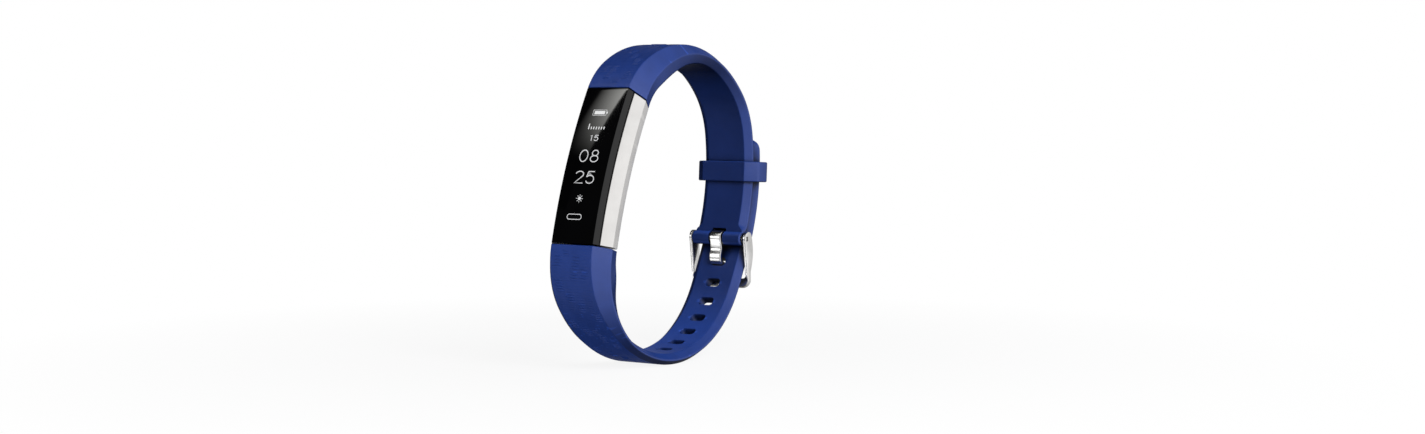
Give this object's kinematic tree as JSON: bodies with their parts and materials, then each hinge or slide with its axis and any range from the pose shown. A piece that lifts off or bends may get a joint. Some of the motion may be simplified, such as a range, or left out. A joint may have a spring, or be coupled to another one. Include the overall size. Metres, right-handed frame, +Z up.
{
  "type": "fitness tracker band",
  "caption": "Slim wrist fitness tracker: curved black display in a silver housing, held between two navy straps closed by a steel pin buckle and a keeper loop.",
  "frame": {"origin": "centre of the closed band's bounding box, near the centre of the wrist opening", "axes": "+Z up as the band stands, +X along the wrist (across the strap), -Y the side of the display; the display leans back by 21 degrees"},
  "size_m": [0.0158, 0.0628, 0.0668],
  "materials": {
    "navy_tpu": "satin, moulded, dark navy blue",
    "black_glass": "gloss black curved lens",
    "satin_silver": "satin silver",
    "polished_steel": "polished steel",
    "black_plastic": "fine matte black",
    "black_rubber": "black gasket",
    "dark_window": "dark infrared-tinted window",
    "green_board": "solder resist",
    "chip_black": "moulded chip package",
    "gold": "gold plated",
    "led_green": "clear green",
    "battery_foil": "laminated foil pouch",
    "red_wire": "red insulation",
    "black_wire": "black insulation",
    "amber_flex": "amber polyimide film",
    "grey_foam": "grey foam pad",
    "motor_steel": "machined steel",
    "oled_panel": "dark display glass"
  },
  "bodies": {
    "band": {"upper_strap": "navy_tpu", "lower_strap": "navy_tpu", "display_lens": "black_glass", "lens_seal": "black_rubber", "touch_electrode": "amber_flex", "tracker_housing": "satin_silver", "rear_cover": "black_plastic", "rear_cover_seal": "black_rubber", "rear_screw_1": "motor_steel", "rear_screw_2": "motor_steel", "rear_screw_3": "motor_steel", "rear_screw_4": "motor_steel", "sensor_window": "dark_window", "sensor_light_shield": "black_plastic", "photodiode": "chip_black", "led_upper": "led_green", "led_lower": "led_green", "main_board": "green_board", "microcontroller": "chip_black", "accelerometer": "chip_black", "antenna": "gold", "display_panel": "oled_panel", "display_flex": "amber_flex", "battery_foam": "grey_foam", "battery": "battery_foil", "battery_lead_positive": "red_wire", "battery_lead_negative": "black_wire", "motor_case": "motor_steel", "motor_base": "green_board", "motor_shaft": "motor_steel", "upper_plug": "black_plastic", "lower_plug": "black_plastic", "charge_contact_1": "gold", "charge_contact_2": "gold", "charge_contact_3": "gold", "charge_contact_4": "gold", "spring_bar_tube": "polished_steel", "spring_bar_spring": "motor_steel"},
    "buckle_frame": {"buckle_frame": "polished_steel"},
    "buckle_tongue": {"buckle_tongue": "polished_steel"},
    "keeper": {"keeper_loop": "navy_tpu"},
    "spring_pin_left": {"spring_bar_pin_left": "polished_steel"},
    "spring_pin_right": {"spring_bar_pin_right": "polished_steel"},
    "vibration_rotor": {"motor_rotor": "gold"}
  },
  "joints": [
    {"name": "buckle_swing", "type": "hinge", "parent": "band", "child": "buckle_frame", "pos_m": [0, 0.02223, -0.00845], "axis": [1, 0, 0], "range_deg": [0, 4]},
    {"name": "tongue_swing", "type": "hinge", "parent": "buckle_frame", "child": "buckle_tongue", "pos_m": [0, 0.02223, -0.00845], "axis": [1, 0, 0], "range_deg": [0, 2]},
    {"name": "keeper_slide", "type": "hinge", "parent": "band", "child": "keeper", "pos_m": [0, -0.01579, 0.00831], "axis": [1, 0, 0], "range_deg": [-8.5, 7]},
    {"name": "pin_left_press", "type": "slide", "parent": "band", "child": "spring_pin_left", "axis": [1, 0, 0], "range_m": [0, 0.001], "stiffness_N_per_m": 400},
    {"name": "pin_right_press", "type": "slide", "parent": "band", "child": "spring_pin_right", "axis": [-1, 0, 0], "range_m": [0, 0.001], "stiffness_N_per_m": 400},
    {"name": "rotor_spin", "type": "hinge", "parent": "band", "child": "vibration_rotor", "pos_m": [0, -0.01928, 0.01384], "axis": [0, -0.9317, 0.3633], "continuous": true}
  ]
}
